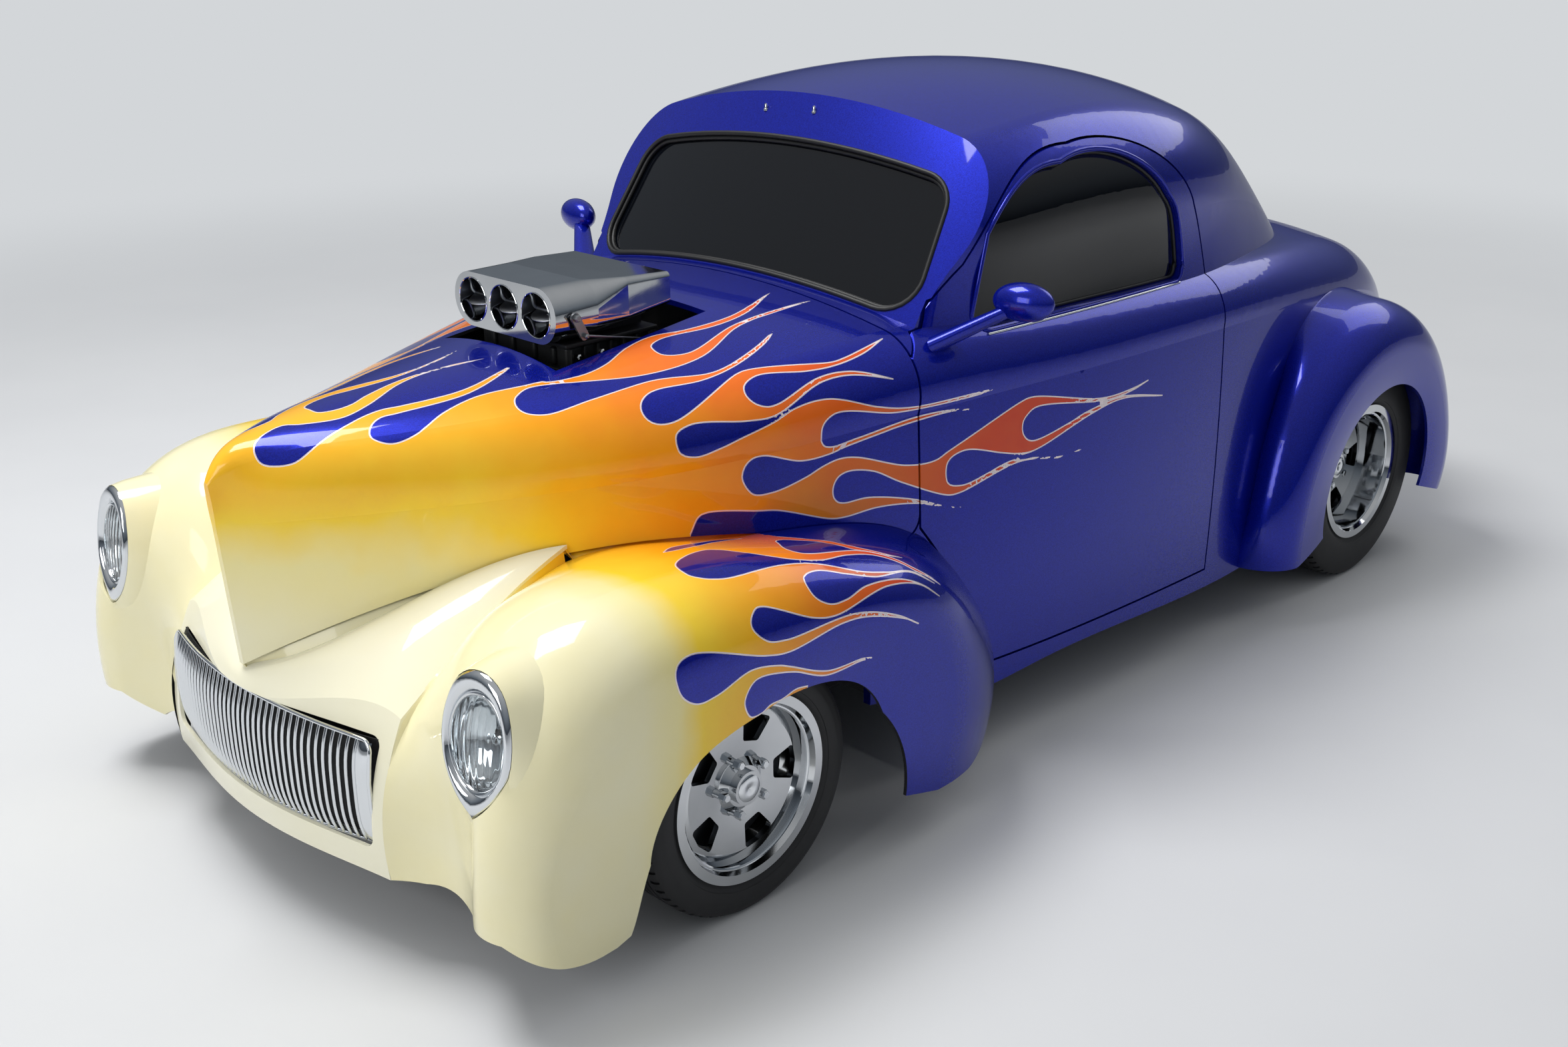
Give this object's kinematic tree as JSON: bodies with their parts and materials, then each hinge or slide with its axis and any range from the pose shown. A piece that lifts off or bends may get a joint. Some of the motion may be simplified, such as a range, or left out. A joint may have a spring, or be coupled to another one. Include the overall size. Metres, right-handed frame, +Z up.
{
  "type": "hot rod coupe",
  "caption": "Prow-nosed hot rod coupe with pontoon fenders, air scoop through the hood, and hinged doors, hood and deck lid.",
  "frame": {"origin": "middle of the overall box at floor level", "axes": "front toward -Y, the car's left toward +X, +Z up"},
  "size_m": [1.8242, 4.274, 1.6043],
  "materials": {
    "body_paint": "deep metallic blue gloss",
    "ivory_paint": "ivory gloss",
    "black_paint": "satin",
    "chrome_bars": "mirror",
    "polished_aluminium": "polished",
    "core_aluminium": "matt",
    "steel_plate": "satin",
    "cast_case": "satin black",
    "tinted_glass": "dark tint",
    "clear_glass": "clear",
    "red_glass": "red lens",
    "tyre_rubber": "matt",
    "seat_leather": "satin",
    "dash_plastic": "matt"
  },
  "bodies": {
    "body": {"nose_panel": "ivory_paint", "grille": "chrome_bars", "body_shell": "body_paint", "floor_pan": "black_paint", "frame_rails": "black_paint", "windshield": "tinted_glass", "rear_window": "tinted_glass", "scoop": "polished_aluminium", "scoop_butterflies": "steel_plate", "blower": "cast_case", "engine_block": "cast_case", "radiator": "core_aluminium", "front_axle": "black_paint", "rear_axle": "black_paint", "seat": "seat_leather", "dash": "dash_plastic", "front_fender_left": "body_paint", "rear_fender_left": "body_paint", "headlight_left": "chrome_bars", "headlight_lens_left": "clear_glass", "tail_lamp_left": "red_glass", "front_fender_right": "body_paint", "rear_fender_right": "body_paint", "headlight_right": "chrome_bars", "headlight_lens_right": "clear_glass", "tail_lamp_right": "red_glass"},
    "hood": {"hood": "body_paint"},
    "deck_lid": {"deck_lid": "body_paint"},
    "door_left": {"door_left": "body_paint", "door_glass_left": "tinted_glass", "mirror_left": "body_paint"},
    "steer_left": {"knuckle_left": "cast_case"},
    "wheel_front_left": {"wheel_front_left": "polished_aluminium", "tyre_front_left": "tyre_rubber"},
    "wheel_rear_left": {"wheel_rear_left": "polished_aluminium", "tyre_rear_left": "tyre_rubber"},
    "door_right": {"door_right": "body_paint", "door_glass_right": "tinted_glass", "mirror_right": "body_paint"},
    "steer_right": {"knuckle_right": "cast_case"},
    "wheel_front_right": {"wheel_front_right": "polished_aluminium", "tyre_front_right": "tyre_rubber"},
    "wheel_rear_right": {"wheel_rear_right": "polished_aluminium", "tyre_rear_right": "tyre_rubber"}
  },
  "joints": [
    {"name": "hood_tilt", "type": "hinge", "parent": "body", "child": "hood", "pos_m": [0, -2.119, 0.512], "axis": [1, 0, 0], "range_deg": [0, 50]},
    {"name": "deck_lid_hinge", "type": "hinge", "parent": "body", "child": "deck_lid", "pos_m": [0, 1.547, 1.022], "axis": [1, 0, 0], "range_deg": [0, 55]},
    {"name": "door_left_hinge", "type": "hinge", "parent": "body", "child": "door_left", "pos_m": [0.705, -0.739, 0.6], "axis": [0, 0, -1], "range_deg": [0, 60]},
    {"name": "door_right_hinge", "type": "hinge", "parent": "body", "child": "door_right", "pos_m": [-0.705, -0.739, 0.6], "axis": [0, 0, 1], "range_deg": [0, 60]},
    {"name": "steer_left_kingpin", "type": "hinge", "parent": "body", "child": "steer_left", "pos_m": [0.7, -1.429, 0.288], "axis": [0, 0, 1], "range_deg": [-22, 22]},
    {"name": "wheel_front_left_spin", "type": "hinge", "parent": "steer_left", "child": "wheel_front_left", "pos_m": [0.766, -1.429, 0.288], "axis": [1, 0, 0], "continuous": true},
    {"name": "wheel_rear_left_spin", "type": "hinge", "parent": "body", "child": "wheel_rear_left", "pos_m": [0.676, 1.213, 0.334], "axis": [1, 0, 0], "continuous": true},
    {"name": "steer_right_kingpin", "type": "hinge", "parent": "body", "child": "steer_right", "pos_m": [-0.7, -1.429, 0.288], "axis": [0, 0, 1], "range_deg": [-22, 22]},
    {"name": "wheel_front_right_spin", "type": "hinge", "parent": "steer_right", "child": "wheel_front_right", "pos_m": [-0.766, -1.429, 0.288], "axis": [1, 0, 0], "continuous": true},
    {"name": "wheel_rear_right_spin", "type": "hinge", "parent": "body", "child": "wheel_rear_right", "pos_m": [-0.676, 1.213, 0.334], "axis": [1, 0, 0], "continuous": true}
  ],
  "couplings": [
    {"joint": "steer_right_kingpin", "follows": "steer_left_kingpin", "ratio": 1}
  ]
}
